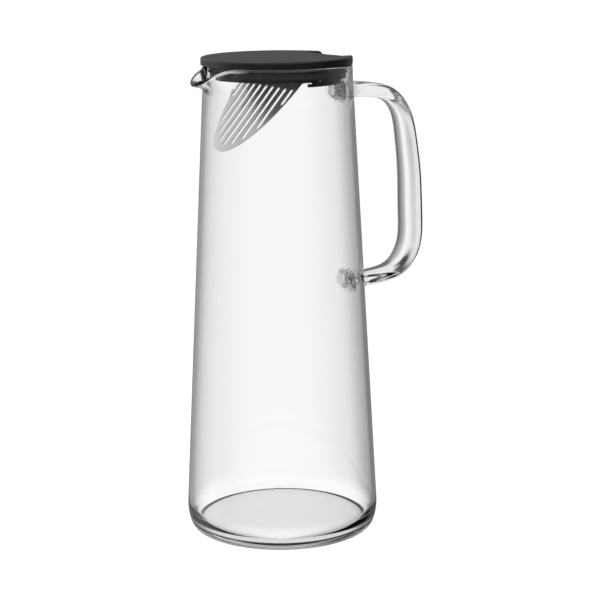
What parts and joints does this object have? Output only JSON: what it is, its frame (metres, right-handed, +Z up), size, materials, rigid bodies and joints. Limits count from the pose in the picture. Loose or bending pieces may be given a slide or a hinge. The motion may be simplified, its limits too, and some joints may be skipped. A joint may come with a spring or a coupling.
{
  "type": "glass jug with strainer lid",
  "caption": "Tapered glass jug with a pulled spout and fused handle, and a lift-off lid that carries a swinging slotted steel strainer.",
  "frame": {"origin": "centre of the flat foot, on the surface that the jug stands on", "axes": "+Z up along the jug's axis, -X towards the spout, +X towards the handle, XZ the plane of symmetry"},
  "size_m": [0.1618, 0.121, 0.297],
  "materials": {
    "glass": "clear, fire-polished",
    "lid_plastic": "fine satin moulding",
    "seal": "soft silicone",
    "steel": "stainless, lightly brushed"
  },
  "bodies": {
    "jug": {"glass_body": "glass", "glass_handle": "glass"},
    "lid": {"lid_cover": "lid_plastic", "lid_collar": "lid_plastic", "seal_ring": "seal", "hinge_wire": "steel"},
    "strainer": {"strainer_plate": "steel"}
  },
  "joints": [
    {"name": "lid_lift", "type": "slide", "parent": "jug", "child": "lid", "axis": [0, 0, 1], "range_m": [0, 0.08]},
    {"name": "strainer_swing", "type": "hinge", "parent": "lid", "child": "strainer", "pos_m": [0.0067, 0, 0.2849], "axis": [0, -1, 0], "range_deg": [0, 41]}
  ]
}
